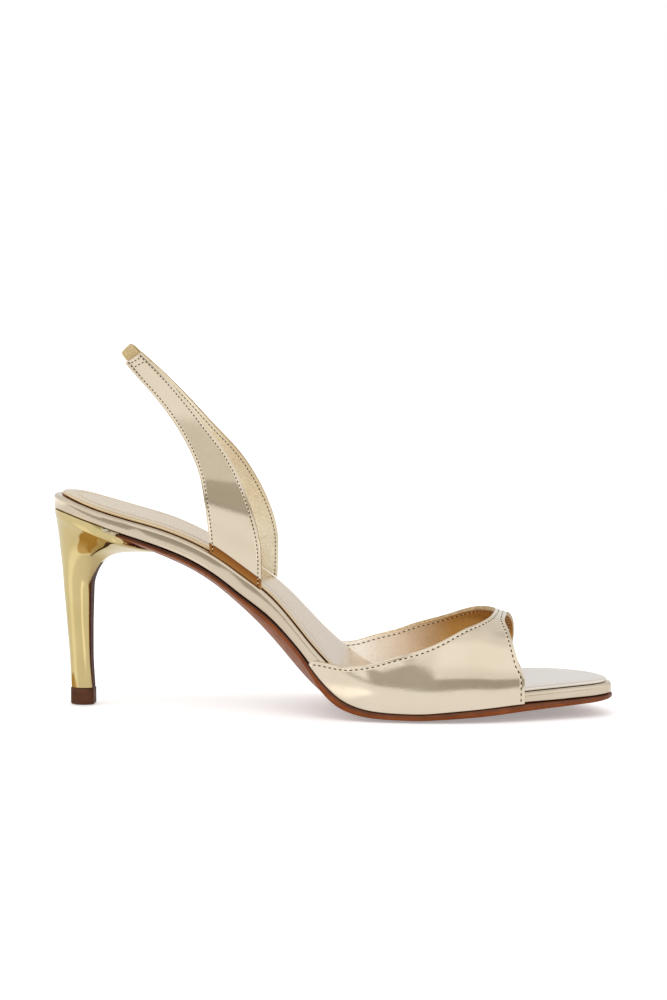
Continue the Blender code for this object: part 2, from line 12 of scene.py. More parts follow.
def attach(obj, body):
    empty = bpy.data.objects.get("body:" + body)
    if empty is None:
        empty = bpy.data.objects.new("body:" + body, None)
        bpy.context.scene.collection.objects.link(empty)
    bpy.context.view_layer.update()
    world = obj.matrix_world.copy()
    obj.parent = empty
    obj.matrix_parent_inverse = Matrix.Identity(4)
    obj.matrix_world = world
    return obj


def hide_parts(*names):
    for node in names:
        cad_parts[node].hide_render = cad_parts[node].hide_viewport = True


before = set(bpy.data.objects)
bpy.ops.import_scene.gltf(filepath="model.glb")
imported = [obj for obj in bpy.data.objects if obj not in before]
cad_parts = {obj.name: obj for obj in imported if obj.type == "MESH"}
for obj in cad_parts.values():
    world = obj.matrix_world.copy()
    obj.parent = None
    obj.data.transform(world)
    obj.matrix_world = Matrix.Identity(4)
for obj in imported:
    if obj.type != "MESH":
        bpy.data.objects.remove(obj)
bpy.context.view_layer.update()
scene = bpy.context.scene

MM = 0.001
LENGTH = 221.6
HEEL_BACK = 11.3
BALL_WIDTH = 77.3
SEAT_RISE = 84.8
INSTEP_RISE = 53.7
RIM_DEPTH = 5.6
KEEL_DEPTH = 10.0
RIM_TUCK = 0.4
RIM_ROUND = 1.5
SOLE_EDGE = 2.6
WELT = 1.4
SOCK_INSET = 3.4
SOCK_TOE_INSET = 1.9
SOCK_DEPTH = 1.4
VAMP_WALL = 1.7
VAMP_LEAN = 0.05
SLING_WALL = 1.6
SLING_INSET = 1.0
SLING_FORWARD = 2.3
ELASTIC_WALL = 1.1
ELASTIC_WIDTH = 5.4
ELASTIC_REACH = 5.0
ELASTIC_OVERLAP = 5.0
SEAT_HALF = 24.6
TOP_LIFT_DEPTH = 6.5
TOP_LIFT_SWELL = 0.3
FLAT_TURN = 142.0
GAP = 0.3
BELLY_GAP = 0.2
SOLE_BLUNT = 3.0
SOLE_START = 0.115
VAMP_SEAM = 1.5
SLING_SEAM = 1.2
SLING_CREVICE_SHADE = 4.3
ELASTIC_RIB = 0.12
ELASTIC_RIBS = 7
CUTTER_GAP = 0.12
BREAST_TOP = 66.0
BREAST_FRONT = 30.0
DEGREES = 57.3

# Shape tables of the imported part, in the same shares of its sizes
# share of the length, medial half width, lateral half width
PLAN = (
    (0.000, 0.000, 0.000), (0.015, 0.150, 0.150), (0.035, 0.228, 0.228), (0.060, 0.278, 0.278),
    (0.100, 0.316, 0.316), (0.150, 0.326, 0.326), (0.200, 0.315, 0.317), (0.250, 0.287, 0.297),
    (0.300, 0.263, 0.280), (0.350, 0.259, 0.287), (0.400, 0.281, 0.316), (0.450, 0.332, 0.368),
    (0.500, 0.388, 0.430), (0.550, 0.438, 0.482), (0.600, 0.467, 0.512), (0.650, 0.478, 0.521),
    (0.700, 0.475, 0.516), (0.750, 0.457, 0.496), (0.800, 0.423, 0.466), (0.850, 0.375, 0.420),
    (0.900, 0.313, 0.355), (0.940, 0.257, 0.264), (0.970, 0.215, 0.160), (0.990, 0.165, 0.040),
    (1.000, 0.078, -0.078),
)
# share of the length, height of the rim, depth of the rim, depth of the keel
BOARD = (
    (0.000, 1.000, 1.00, 0.06), (0.035, 0.983, 0.98, 0.18), (0.060, 0.961, 0.95, 0.23),
    (0.100, 0.927, 0.92, 0.28), (0.150, 0.889, 0.96, 0.30), (0.200, 0.852, 1.07, 0.32),
    (0.250, 0.800, 1.11, 0.35), (0.300, 0.730, 1.21, 0.39), (0.350, 0.638, 1.32, 0.50),
    (0.400, 0.541, 1.27, 0.74), (0.450, 0.402, 1.19, 0.88), (0.475, 0.326, 1.37, 0.76),
    (0.500, 0.261, 1.53, 0.46), (0.520, 0.211, 1.50, 0.32), (0.550, 0.150, 1.20, 0.18),
    (0.580, 0.113, 0.94, 0.12), (0.620, 0.095, 0.80, 0.09), (0.670, 0.092, 0.79, 0.09),
    (0.720, 0.101, 0.77, 0.09), (0.780, 0.113, 0.75, 0.09), (0.850, 0.130, 0.74, 0.09),
    (0.920, 0.140, 0.77, 0.06), (0.970, 0.147, 0.77, 0.03), (1.000, 0.152, 0.75, 0.01),
)
# share of the length, height of the underside's middle, depth of the edge, stand of the welt
GROUND = (
    (0.115, 0.985, 0.50, -0.90), (0.150, 0.978, 0.55, -0.90), (0.190, 0.966, 0.60, -0.90),
    (0.220, 0.960, 0.60, -0.90), (0.250, 0.957, 0.62, -0.90), (0.280, 0.951, 0.65, -0.90),
    (0.310, 0.943, 0.68, -0.90), (0.340, 0.935, 0.70, -0.90), (0.370, 0.916, 0.75, -0.90),
    (0.400, 0.879, 0.80, -0.80), (0.430, 0.833, 0.85, -0.50), (0.455, 0.792, 1.00, 0.00),
    (0.480, 0.750, 1.30, 0.50), (0.500, 0.653, 1.60, 0.80), (0.520, 0.538, 1.45, 1.00),
    (0.545, 0.343, 1.20, 1.00), (0.570, 0.150, 1.05, 1.00), (0.600, 0.000, 0.95, 1.00),
    (0.650, 0.000, 0.90, 1.00), (0.690, 0.000, 0.92, 1.00), (0.720, 0.152, 1.00, 1.00),
    (0.760, 0.331, 1.05, 1.00), (0.800, 0.448, 1.08, 1.00), (0.850, 0.525, 1.05, 0.60),
    (0.900, 0.573, 0.92, 0.20), (0.940, 0.627, 0.85, 0.10), (0.970, 0.680, 0.80, 0.00),
    (0.985, 0.724, 0.75, 0.00), (1.003, 0.803, 0.60, 0.00),
)
# share of the length, rise
INSTEP = (
    (0.450, 1.000), (0.500, 0.961), (0.570, 0.873), (0.640, 0.784), (0.700, 0.730), (0.750, 0.704),
    (0.770, 0.672), (0.795, 0.606), (0.820, 0.580), (0.840, 0.557), (0.890, 0.472),
)
# turn round the last, throat, toe edge
VAMP = (
    (0.000, 0.473, 0.850), (0.005, 0.482, 0.850), (0.015, 0.498, 0.850), (0.030, 0.520, 0.850),
    (0.050, 0.552, 0.850), (0.075, 0.588, 0.847), (0.105, 0.624, 0.840), (0.140, 0.665, 0.836),
    (0.185, 0.705, 0.8315), (0.245, 0.741, 0.826), (0.310, 0.769, 0.820), (0.415, 0.787, 0.811),
    (0.510, 0.791, 0.811), (0.575, 0.787, 0.812), (0.640, 0.775, 0.815), (0.700, 0.751, 0.818),
    (0.760, 0.714, 0.820), (0.815, 0.669, 0.820), (0.850, 0.639, 0.8195), (0.890, 0.605, 0.8175),
    (0.930, 0.560, 0.820), (0.960, 0.530, 0.826), (0.980, 0.507, 0.832), (1.000, 0.475, 0.841),
)
# way up, rear edge and its height, front edge and its height, spread
SLING = (
    (0.00, 0.293, 0.740, 0.384, 0.590, 0.240), (0.10, 0.292, 0.825, 0.385, 0.690, 0.254),
    (0.20, 0.290, 0.896, 0.384, 0.784, 0.270), (0.32, 0.285, 0.990, 0.373, 0.913, 0.277),
    (0.45, 0.277, 1.095, 0.353, 1.053, 0.262), (0.58, 0.257, 1.211, 0.325, 1.188, 0.217),
    (0.70, 0.231, 1.320, 0.289, 1.298, 0.171), (0.82, 0.196, 1.434, 0.246, 1.436, 0.124),
    (0.92, 0.161, 1.526, 0.200, 1.565, 0.089), (1.00, 0.135, 1.603, 0.164, 1.652, 0.071),
)
# way up, lean of the lateral strap
SLING_LEAN = ((0.00, 0.70), (0.20, 1.00), (0.45, 0.30), (0.65, -0.35), (0.85, -0.60), (1.00, -0.70))
# way down, back and its height, front and its height, half width, part of the shaft's plan
HEEL = (
    (0.00, 0.0020, 1.010, 0.193, 0.830, 1.000, 0.00), (0.06, 0.0020, 0.915, 0.193, 0.703, 1.000, 0.00),
    (0.12, 0.0040, 0.881, 0.187, 0.694, 0.920, 0.00), (0.18, 0.0060, 0.840, 0.168, 0.695, 0.790, 0.10),
    (0.25, 0.0090, 0.778, 0.139, 0.695, 0.640, 0.25), (0.32, 0.0110, 0.717, 0.110, 0.682, 0.500, 0.50),
    (0.40, 0.0140, 0.644, 0.088, 0.638, 0.380, 0.80), (0.47, 0.0160, 0.580, 0.075, 0.580, 0.310, 1.00),
    (0.53, 0.0170, 0.528, 0.070, 0.526, 0.280, 1.00), (0.62, 0.0200, 0.426, 0.069, 0.426, 0.248, 1.00),
    (0.72, 0.0235, 0.297, 0.068, 0.297, 0.224, 1.00), (0.83, 0.0270, 0.169, 0.068, 0.169, 0.203, 1.00),
    (0.94, 0.0290, 0.047, 0.070, 0.047, 0.189, 1.00), (1.00, 0.0300, 0.000, 0.071, 0.000, 0.187, 1.00),
)
# turn round the seat, way along, half width
SEAT_PLAN = (
    (0.0, 0.000, 0.000), (0.1, 0.024, 0.280), (0.2, 0.095, 0.550), (0.3, 0.206, 0.760),
    (0.4, 0.345, 0.910), (0.5, 0.500, 0.985), (0.6, 0.655, 0.960), (0.7, 0.794, 0.720),
    (0.8, 0.905, 0.430), (0.9, 0.976, 0.190), (1.0, 1.000, 0.000),
)


def make_camera():
    data = bpy.data.cameras.new("camera")
    data.lens = 112.4
    data.sensor_width = 36
    data.clip_start = 0.05
    data.clip_end = 60
    cam = bpy.data.objects.new("camera", data)
    scene.collection.objects.link(cam)
    cam.location = (0.217744, -1.219678, 0.189423)
    aim = Vector((0.100303, 0, 0.082221)) - cam.location
    cam.rotation_euler = aim.to_track_quat("-Z", "Y").to_euler()
    scene.camera = cam


make_camera()


# Curves of the part
def read(table, at, column):
    """Monotone cubic reading of a table's column, for an array of values."""
    xs = np.array([row[0] for row in table])
    ys = np.array([row[column] for row in table])
    run = np.diff(xs)
    slope = np.diff(ys) / run
    tangent = np.concatenate([slope[:1], np.zeros(len(xs) - 2), slope[-1:]])
    a = 2 * run[1:] + run[:-1]
    b = run[1:] + 2 * run[:-1]
    keep = slope[:-1] * slope[1:] > 0
    tangent[1:-1][keep] = ((a + b)[keep] / (a[keep] / slope[:-1][keep] + b[keep] / slope[1:][keep]))
    k = np.clip(np.searchsorted(xs, at, "right") - 1, 0, len(run) - 1)
    u = np.clip((at - xs[k]) / run[k], 0, 1)
    value = (1 + 2 * u) * (1 - u) ** 2 * ys[k] + u * (1 - u) ** 2 * run[k] * tangent[k]
    value += u * u * (3 - 2 * u) * ys[k + 1] + u * u * (u - 1) * run[k] * tangent[k + 1]
    value += np.minimum(0, at - xs[0]) * slope[0] + np.maximum(0, at - xs[-1]) * slope[-1]
    return value


class Curve:
    """A table's column read on a fine grid and faired, so that polished skins reflect evenly."""

    def __init__(self, table, column, width):
        low, high = table[0][0], table[-1][0]
        span = high - low
        self.at = np.linspace(low - 0.06 * span, high + 0.06 * span, 4001)
        value = read(table, self.at, column)
        step = self.at[1] - self.at[0]
        reach = max(1, int(3 * width / step))
        weight = np.exp(-0.5 * (np.arange(-reach, reach + 1) * step / width) ** 2)
        value = np.pad(value, reach, "reflect", reflect_type="odd")
        self.value = np.convolve(value, weight / weight.sum(), "valid")

    def __call__(self, at):
        return np.interp(at, self.at, self.value)


def turn_of(share):
    return np.arccos(np.clip(1 - 2 * np.asarray(share, float), -1, 1))


PLAN_TURN = tuple((float(turn_of(row[0])), row[1], row[2]) for row in PLAN)
MEDIAL = Curve(PLAN_TURN, 1, 0.035)
LATERAL = Curve(PLAN_TURN, 2, 0.035)
RIM_TOP, RIM_SHARE, KEEL = [Curve(BOARD, c, 0.011) for c in (1, 2, 3)]
SOLE_LOW, SOLE_SHARE, SOLE_STAND = [Curve(GROUND, c, 0.007) for c in (1, 2, 3)]
RISE = Curve(INSTEP, 1, 0.016)
THROAT, TOE = [Curve(VAMP, c, 0.006) for c in (1, 2)]
STRAP = [None] + [Curve(SLING, c, 0.045) for c in (1, 2, 3, 4, 5)]
LEAN = Curve(SLING_LEAN, 1, 0.05)
SHAFT = [None] + [Curve(HEEL, c, 0.018) for c in (1, 2, 3, 4, 5, 6)]
SEAT = [None] + [Curve(SEAT_PLAN, c, 0.022) for c in (1, 2)]


def station_x(share):
    return np.asarray(share, float) * LENGTH - HEEL_BACK


def share_of(x):
    return (np.asarray(x, float) + HEEL_BACK) / LENGTH


def half_width(x, side):
    turn = turn_of(share_of(x))
    return (MEDIAL(turn) if side < 0 else LATERAL(turn)) * BALL_WIDTH


def middle(x):
    return (half_width(x, 1) - half_width(x, -1)) / 2


def rim_top(x):
    return RIM_TOP(share_of(x)) * SEAT_RISE


def sideways(x, y):
    half = np.maximum(0.5, (half_width(x, 1) + half_width(x, -1)) / 2)
    return np.minimum(1.0, np.abs(y - middle(x)) / half)


def edge_under(x):
    return rim_top(x) - RIM_SHARE(share_of(x)) * RIM_DEPTH


def board_under(x, y):
    return edge_under(x) - KEEL(share_of(x)) * KEEL_DEPTH * (1 - sideways(x, y) ** 2)


def sole_over(x, y):
    return board_under(x, y) - GAP - BELLY_GAP * (1 - sideways(x, y) ** 2)


def sole_under(x, y):
    centre = np.maximum(0, SOLE_LOW(share_of(x))) * board_under(x, middle(x))
    edge = edge_under(x) - GAP - SOLE_SHARE(share_of(x)) * SOLE_EDGE
    bend = np.maximum(0.0, (sideways(x, y) - 0.25) / 0.75)
    return centre + (edge - centre) * bend ** 2


def stations(count, x_first=None, close=()):
    u = np.arange(count + 1) / count
    bent = u + 0.045 * np.sin(2 * np.pi * u)
    rows = station_x((1 - np.cos(np.pi * bent)) / 2)
    if x_first is None:
        return rows
    start = x_first + np.array([0.0, *close])
    return np.concatenate([start, rows[rows > start[-1] + 0.6]])


def outline(xs, stand, blunt=0.0):
    """Closed outline of the last's bottom, moved out by stand(x), with its outward normals."""
    near = np.ones(len(xs))
    if blunt:
        step = np.minimum(1.0, (xs - xs[0]) / blunt)
        near = np.sqrt(np.maximum(0, 1 - (1 - step) ** 2))
    medial = np.column_stack([xs, -half_width(xs, -1) * near])
    lateral = np.column_stack([xs, half_width(xs, 1) * near])
    loop = np.concatenate([medial, lateral[-2:0:-1]])
    loop[0] = (medial[0] + lateral[0]) / 2
    loop[len(xs) - 1] = (medial[-1] + lateral[-1]) / 2
    along = np.roll(loop, -1, 0) - np.roll(loop, 1, 0)
    along /= np.linalg.norm(along, axis=1)[:, None]
    normal = np.column_stack([along[:, 1], -along[:, 0]])
    return loop + normal * np.broadcast_to(stand(loop[:, 0]), len(loop))[:, None], normal


# Meshes
def build(name, points, faces, slots=None, sharp=38, fix=True):
    """Object from points in millimetres and faces, ready to ride."""
    mesh = bpy.data.meshes.new(name)
    mesh.from_pydata((np.asarray(points, float) * MM).tolist(), [], [list(f) for f in faces])
    if slots is not None:
        mesh.polygons.foreach_set("material_index", np.asarray(slots, dtype=np.int32))
    if fix:
        bm = bmesh.new()
        bm.from_mesh(mesh)
        bmesh.ops.recalc_face_normals(bm, faces=bm.faces)
        bm.to_mesh(mesh)
        bm.free()
    mesh.update()
    mesh.shade_smooth()
    mesh.set_sharp_from_angle(angle=math.radians(sharp))
    obj = bpy.data.objects.new(name, mesh)
    scene.collection.objects.link(obj)
    return obj


def loft(name, rings, band_slots=None, caps="ladder", **more):
    """Closed body through rings of equal counts."""
    count = len(rings[0])
    points = np.concatenate(rings)
    faces, slots = [], []
    for r in range(len(rings) - 1):
        slot = band_slots[r] if band_slots else 0
        for i in range(count):
            j = (i + 1) % count
            faces.append((r * count + i, r * count + j, (r + 1) * count + j, (r + 1) * count + i))
            slots.append(slot)
    ends = ((0, True, 0), (len(rings) - 1, False, -1))
    for ring, flip, which in ends:
        slot = band_slots[which] if band_slots else 0
        base = ring * count
        if caps == "ladder":
            half = count // 2
            for k in range(half):
                beside = base + (count - k - 1) % count
                face = [base + k, base + k + 1, beside, base + (count - k) % count]
                if k == 0:
                    face = face[:3]
                elif k == half - 1:
                    face = [face[0], face[1], face[3]]
                faces.append(face[::-1] if flip else face)
                slots.append(slot)
        else:
            face = list(range(base, base + count))
            faces.append(face[::-1] if flip else face)
            slots.append(slot)
    return build(name, points, faces, slots, **more)


def plate(name, edge, rear, front, spec, band_slots=None, **more):
    """Body that follows an outline. spec rows: inset, share inwards, height function."""
    points, normal = edge
    rings = []
    for inset, inward, height in spec:
        width = inset(points[:, 0]) if callable(inset) else inset
        q = points - normal * np.broadcast_to(width, len(points))[:, None]
        sx = np.clip(q[:, 0], station_x(rear), station_x(front))
        q = q + (np.column_stack([sx, middle(sx)]) - q) * inward
        rings.append(np.column_stack([q, height(q[:, 0], q[:, 1])]))
    return loft(name, rings, band_slots, **more)


def grid_faces(grid):
    rows, columns = grid.shape[:2]
    index = np.arange(rows * columns).reshape(rows, columns)
    return np.stack([index[:-1, :-1], index[:-1, 1:], index[1:, 1:], index[1:, :-1]], -1).reshape(-1, 4)


def hold(obj, name, values):
    """A value for each point, which the materials read."""
    held = obj.data.attributes.new(name, "FLOAT", "POINT")
    held.data.foreach_set("value", np.asarray(values, float).reshape(-1))


def sheet_object(name, grid, edge=None):
    """Open surface through a grid of points, rows by columns, with a distance to its edges."""
    obj = build(name, grid.reshape(-1, 3), grid_faces(grid), fix=False)
    if edge is not None:
        hold(obj, "edge", edge)
    return obj


def shell(obj, wall, side, rounding, segments=4):
    """Wall on an open sheet, its inner face and its cut edges in the next two materials."""
    wall_mod = obj.modifiers.new("wall", "SOLIDIFY")
    wall_mod.thickness = wall * MM
    wall_mod.offset = side
    wall_mod.use_even_offset = True
    wall_mod.use_quality_normals = True
    wall_mod.material_offset = 1
    wall_mod.material_offset_rim = 2
    edge = obj.modifiers.new("edge", "BEVEL")
    edge.width = rounding * MM
    edge.segments = segments
    edge.limit_method = "ANGLE"
    edge.angle_limit = math.radians(60)
    edge.harden_normals = False


def grid_normals(grid):
    across = np.gradient(grid, axis=1)
    along = np.gradient(grid, axis=0)
    normal = np.cross(along, across)
    return normal / np.maximum(1e-9, np.linalg.norm(normal, axis=2))[..., None]


def resample(path, pitch, start=0.0, end=0.0):
    """Points at an even pitch along a polyline."""
    run = np.concatenate([[0], np.cumsum(np.linalg.norm(np.diff(path, axis=0), axis=1))])
    count = max(2, int((run[-1] - start - end) / pitch))
    at = np.linspace(start, run[-1] - end, count + 1)
    return np.column_stack([np.interp(at, run, path[:, c]) for c in range(3)])


def seam_path(grid, column, inward, tree):
    """Line at a set distance from one edge of a sheet, laid on the sheet."""
    edge = grid[:, column]
    beside = grid[:, 1 if column == 0 else -2]
    along = np.gradient(edge, axis=0)
    along /= np.linalg.norm(along, axis=1)[:, None]
    across = np.cross(grid_normals(grid)[:, column], along)
    across /= np.linalg.norm(across, axis=1)[:, None]
    sign = np.sign(np.sum((beside - edge) * across, axis=1))
    path = edge + across * sign[:, None] * inward
    return np.array([tree.find_nearest(Vector(p))[0] for p in path])


def edge_seams(grid, inward):
    """Lines along both edges of a sheet, and the sheet as a tree."""
    tree = BVHTree.FromPolygons(grid.reshape(-1, 3).tolist(), grid_faces(grid).tolist())
    return [seam_path(grid, column, inward, tree) for column in (0, -1)], tree


def on_skin(tree, point, step, side):
    """Place on the skin, its outward normal, the way along the step and the way across."""
    place, normal, _, _ = tree.find_nearest(Vector(point))
    normal = np.array(normal) * side
    along = step / np.linalg.norm(step)
    normal -= along * float(normal @ along)
    normal /= np.linalg.norm(normal)
    return np.array(place), normal, along, np.cross(normal, along)


def stitch_rows(name, lines, tree, side, ends, lift, pitch, long, wide, high):
    """Threads from hole to hole, and dark discs of painted shade for the holes between them, along
    lines on one side of a skin.
    """
    thread_pts, thread_faces, hole_pts, hole_faces = [], [], [], []
    rounds, arc, rim = 7, 6, 8
    for line in lines:
        spots = resample(line, pitch, ends, ends)
        for a, b in zip(spots, spots[1:]):
            place, normal, along, across = on_skin(tree, (a + b) / 2, b - a, side)
            place = place + normal * lift
            first = len(thread_pts)
            for s in np.linspace(-1, 1, rounds):
                girth = math.sqrt(max(0.0, 1 - s * s * 0.86))
                for w in np.linspace(0, np.pi, arc):
                    out = high * math.sin(w) * girth - 0.05 - 0.10 * s ** 4
                    thread_pts.append(place + along * s * long / 2
                                      + across * math.cos(w) * wide / 2 * girth + normal * out)
            for i in range(rounds - 1):
                for j in range(arc - 1):
                    k = first + i * arc + j
                    thread_faces.append((k, k + arc, k + arc + 1, k + 1))
        # Each hole is a flat dark disc on the skin, a painted shade for the hole's depth
        for i, a in enumerate(spots):
            step = spots[min(i + 1, len(spots) - 1)] - spots[max(i - 1, 0)]
            place, normal, along, across = on_skin(tree, a, step, side)
            place = place + normal * (lift + 0.035)
            first = len(hole_pts)
            hole_pts.append(place - normal * 0.02)
            for w in np.linspace(0, 2 * np.pi, rim + 1)[:-1]:
                hole_pts.append(place + along * math.cos(w) * (pitch - long) * 0.62
                                + across * math.sin(w) * wide * 0.55)
            for j in range(rim):
                hole_faces.append((first, first + 1 + j, first + 1 + (j + 1) % rim))
    thread = build(name + "_thread", thread_pts, thread_faces, fix=False, sharp=80)
    holes = build(name + "_holes", hole_pts, hole_faces, fix=False, sharp=80)
    return thread, holes


# Materials
WHITE = (1.0, 1.0, 1.0, 1.0)


def plug(tree, socket, value):
    """Link a socket to another one, or give it a value."""
    if isinstance(value, bpy.types.NodeSocket):
        tree.links.new(value, socket)
    else:
        socket.default_value = value


def node(tree, kind, values=None, **props):
    made = tree.nodes.new(kind)
    for key, value in props.items():
        setattr(made, key, value)
    for key, value in (values or {}).items():
        plug(tree, made.inputs[key], value)
    return made


def rgb(*levels):
    """Linear colour from display levels, 0 to 255."""
    out = []
    for level in levels:
        v = level / 255
        out.append(v / 12.92 if v < 0.04045 else ((v + 0.055) / 1.055) ** 2.4)
    return (*out, 1.0)


class Graph:
    """Patterns and sums in a node tree."""

    def __init__(self, tree, output):
        self.tree = tree
        self.place = node(tree, "ShaderNodeTexCoord").outputs[output]

    def split(self):
        return node(self.tree, "ShaderNodeSeparateXYZ", {0: self.place}).outputs

    def camera_ray(self):
        return node(self.tree, "ShaderNodeLightPath").outputs["Is Camera Ray"]

    def noise(self, scale, detail=3.0, stretch=None):
        place = self.place
        if stretch:
            place = node(self.tree, "ShaderNodeMapping", {"Vector": place, "Scale": stretch}).outputs[0]
        values = {"Vector": place, "Scale": scale, "Detail": detail, "Roughness": 0.55}
        return node(self.tree, "ShaderNodeTexNoise", values).outputs["Fac"]

    def cells(self, scale):
        values = {"Vector": self.place, "Scale": scale}
        return node(self.tree, "ShaderNodeTexVoronoi", values, feature="F1").outputs["Distance"]

    def ramp(self, factor, stops):
        """stops: place, colour. Returns the colour."""
        made = node(self.tree, "ShaderNodeValToRGB", {"Fac": factor})
        points = made.color_ramp.elements
        for i, (at, colour) in enumerate(stops):
            point = points[i] if i < 2 else points.new(at)
            point.position = at
            point.color = colour
        return made.outputs["Color"]

    def clouds(self, scale, detail, dark, light, low=0.3, high=0.7):
        """Cloudy blend of two colours."""
        return self.ramp(self.noise(scale, detail), ((low, dark), (high, light)))

    def span(self, value, low, high, to_low=0.0, to_high=1.0, kind="LINEAR"):
        values = {"Value": value, "From Min": low, "From Max": high,
                  "To Min": to_low, "To Max": to_high}
        return node(self.tree, "ShaderNodeMapRange", values, interpolation_type=kind).outputs[0]

    def step(self, value, low, high, strength=1.0):
        """Smooth way from nothing at low to a strength at high."""
        return self.span(value, low, high, 0.0, strength, "SMOOTHSTEP")

    def mix(self, factor, a, b, blend="MIX"):
        values = {0: factor, 6: a, 7: b}
        return node(self.tree, "ShaderNodeMix", values, data_type="RGBA", blend_type=blend).outputs[2]

    def math(self, how, *values):
        return node(self.tree, "ShaderNodeMath", dict(enumerate(values)), operation=how).outputs[0]

    def product(self, *values):
        made = values[0]
        for value in values[1:]:
            made = self.math("MULTIPLY", made, value)
        return made

    def less(self, value, share, start=1.0):
        """start without a share of the value."""
        return self.math("SUBTRACT", start, self.product(value, share))

    def apart(self, a, b):
        return self.math("ABSOLUTE", self.math("SUBTRACT", a, b))

    def bearing(self, x, y):
        """Degrees from -Y, positive towards +X."""
        return self.product(self.math("ARCTAN2", x, self.product(y, -1.0)), DEGREES)


class Finish(Graph):
    """A material made of its shader, noises and bumps. A value given here for a socket that is
    linked later is what shows where the link can't be carried."""

    def __init__(self, name, **sockets):
        self.material = bpy.data.materials.new(name)
        self.material.use_nodes = True
        super().__init__(self.material.node_tree, "Object")
        self.shader = self.tree.nodes["Principled BSDF"]
        self.normal = None
        self.set("Base Color", WHITE)
        for key, value in sockets.items():
            self.set(key.replace("_", " "), value)

    def set(self, key, value):
        plug(self.tree, self.shader.inputs[key], value)

    def rough(self, scale, detail, low, high):
        self.set("Roughness", self.span(self.noise(scale, detail), 0.3, 0.7, low, high))

    def attribute(self, name):
        return node(self.tree, "ShaderNodeAttribute", attribute_name=name).outputs["Fac"]

    def bump(self, height, strength, distance):
        values = {"Height": height, "Strength": strength, "Distance": distance}
        if self.normal is not None:
            values["Normal"] = self.normal
        self.normal = node(self.tree, "ShaderNodeBump", values).outputs[0]
        self.set("Normal", self.normal)


def mirror_leather(name, seam=None, crevice_shade_height=None, dark=rgb(222, 207, 184), light=rgb(229, 216, 195)):
    """Foil leather with soft waves and a fine grain. seam: way of its sewn channel from the edge.
    Up to a given height above the rim it is painted brown, a painted shade of the deep crevice between
    strap and rim."""
    f = Finish(name, Metallic=1.0, Roughness=0.08)
    tint = f.clouds(34.0, 2.0, dark, light)
    if crevice_shade_height:
        height = f.attribute("crevice_shade_height")
        # Painted shade: next to the rim the strap's foil is painted brown for the crevice there
        brown = ((0.0, rgb(164, 112, 58)), (0.8, rgb(136, 84, 38)), (1.0, rgb(92, 52, 24)))
        tint = f.mix(f.step(height, crevice_shade_height, crevice_shade_height * 0.9), tint, f.ramp(f.span(height, 0.0, crevice_shade_height), brown))
    f.set("Base Color", tint)
    f.rough(420.0, 4.0, 0.05, 0.11)
    f.bump(f.noise(48.0, 1.0), 0.12, 0.0006)
    f.bump(f.noise(1500.0, 3.0), 0.07, 0.00008)
    f.bump(f.cells(2300.0), 0.03, 0.00008)
    if seam:
        f.bump(f.step(f.apart(f.attribute("edge"), seam), 0.0, 0.75), 0.55, 0.00022)
    return f.material


def lining(name, dark, light, painted_glare=None):
    """Grained foil. The last colour is a painted highlight at the throat's rear end, where the foil is
    also made less metallic.
    """
    f = Finish(name, Metallic=0.6, Roughness=0.35)
    grain = f.clouds(1500.0, 3.0, rgb(242, 238, 232), WHITE, 0.36, 0.60)
    tone = f.mix(1.0, f.clouds(90.0, 3.0, dark, light, 0.32, 0.68), grain, "MULTIPLY")
    # Painted highlight: towards the throat's rear end the foil turns pale and less metallic, for the
    # glare there
    if painted_glare:
        glare_share = f.span(f.split()[0], 0.145, 0.108)
        tone = f.mix(glare_share, tone, painted_glare)
        f.set("Metallic", f.span(glare_share, 0.0, 1.0, 0.6, 0.1))
    f.set("Base Color", tone)
    f.rough(900.0, 4.0, 0.24, 0.40)
    f.bump(f.noise(1500.0, 1.0), 0.08, 0.00010)
    return f.material


def cut_edge(name):
    f = Finish(name, Metallic=0.25, Roughness=0.5)
    f.set("Base Color", f.clouds(900.0, 4.0, rgb(150, 118, 76), rgb(206, 180, 138)))
    f.bump(f.noise(1800.0, 4.0), 0.4, 0.00015)
    return f.material


def pearl(name):
    """Satin foil of the sock, deeper gold at the heel and paler at the toe."""
    f = Finish(name, Metallic=0.95, Roughness=0.2)
    tones = ((0.0, rgb(230, 207, 171)), (0.45, rgb(224, 200, 166)), (0.75, rgb(212, 193, 170)),
             (1.0, rgb(232, 223, 212)))
    tone = f.ramp(f.span(f.split()[0], 0.0, 0.15), tones)
    cloud = f.clouds(60.0, 3.0, rgb(248, 248, 248), WHITE)
    f.set("Base Color", f.mix(1.0, tone, cloud, "MULTIPLY"))
    f.rough(700.0, 4.0, 0.16, 0.25)
    f.bump(f.cells(2100.0), 0.10, 0.00006)
    f.bump(f.noise(60.0, 1.0), 0.10, 0.0004)
    return f.material


def plated(name):
    f = Finish(name, Metallic=1.0, Roughness=0.06)
    f.set("Base Color", f.clouds(40.0, 2.0, rgb(202, 182, 128), rgb(210, 192, 140)))
    f.rough(300.0, 3.0, 0.04, 0.09)
    f.bump(f.noise(110.0, 1.0), 0.05, 0.0004)
    return f.material


def brown_leather(name, dark, light, rough, grain=1.0, coat=0.0, gloss=0.15, waist=None):
    """Waxed leather. waist: colour that its waist is multiplied by, as painted shade."""
    f = Finish(name, Roughness=0.4, Coat_Weight=coat, Coat_Roughness=0.25, Specular_IOR_Level=gloss)
    tone = f.ramp(f.noise(260.0, 4.0, (0.35, 1.0, 1.0)), ((0.28, dark), (0.72, light)))
    if waist:
        tone = f.mix(f.span(f.split()[0], 0.13, 0.08), tone, f.mix(1.0, tone, waist, "MULTIPLY"))
    f.set("Base Color", tone)
    f.rough(520.0, 4.0, *rough)
    f.bump(f.noise(1300.0, 5.0), 0.22 * grain, 0.00018)
    f.bump(f.cells(1900.0), 0.12 * grain, 0.0001)
    return f.material


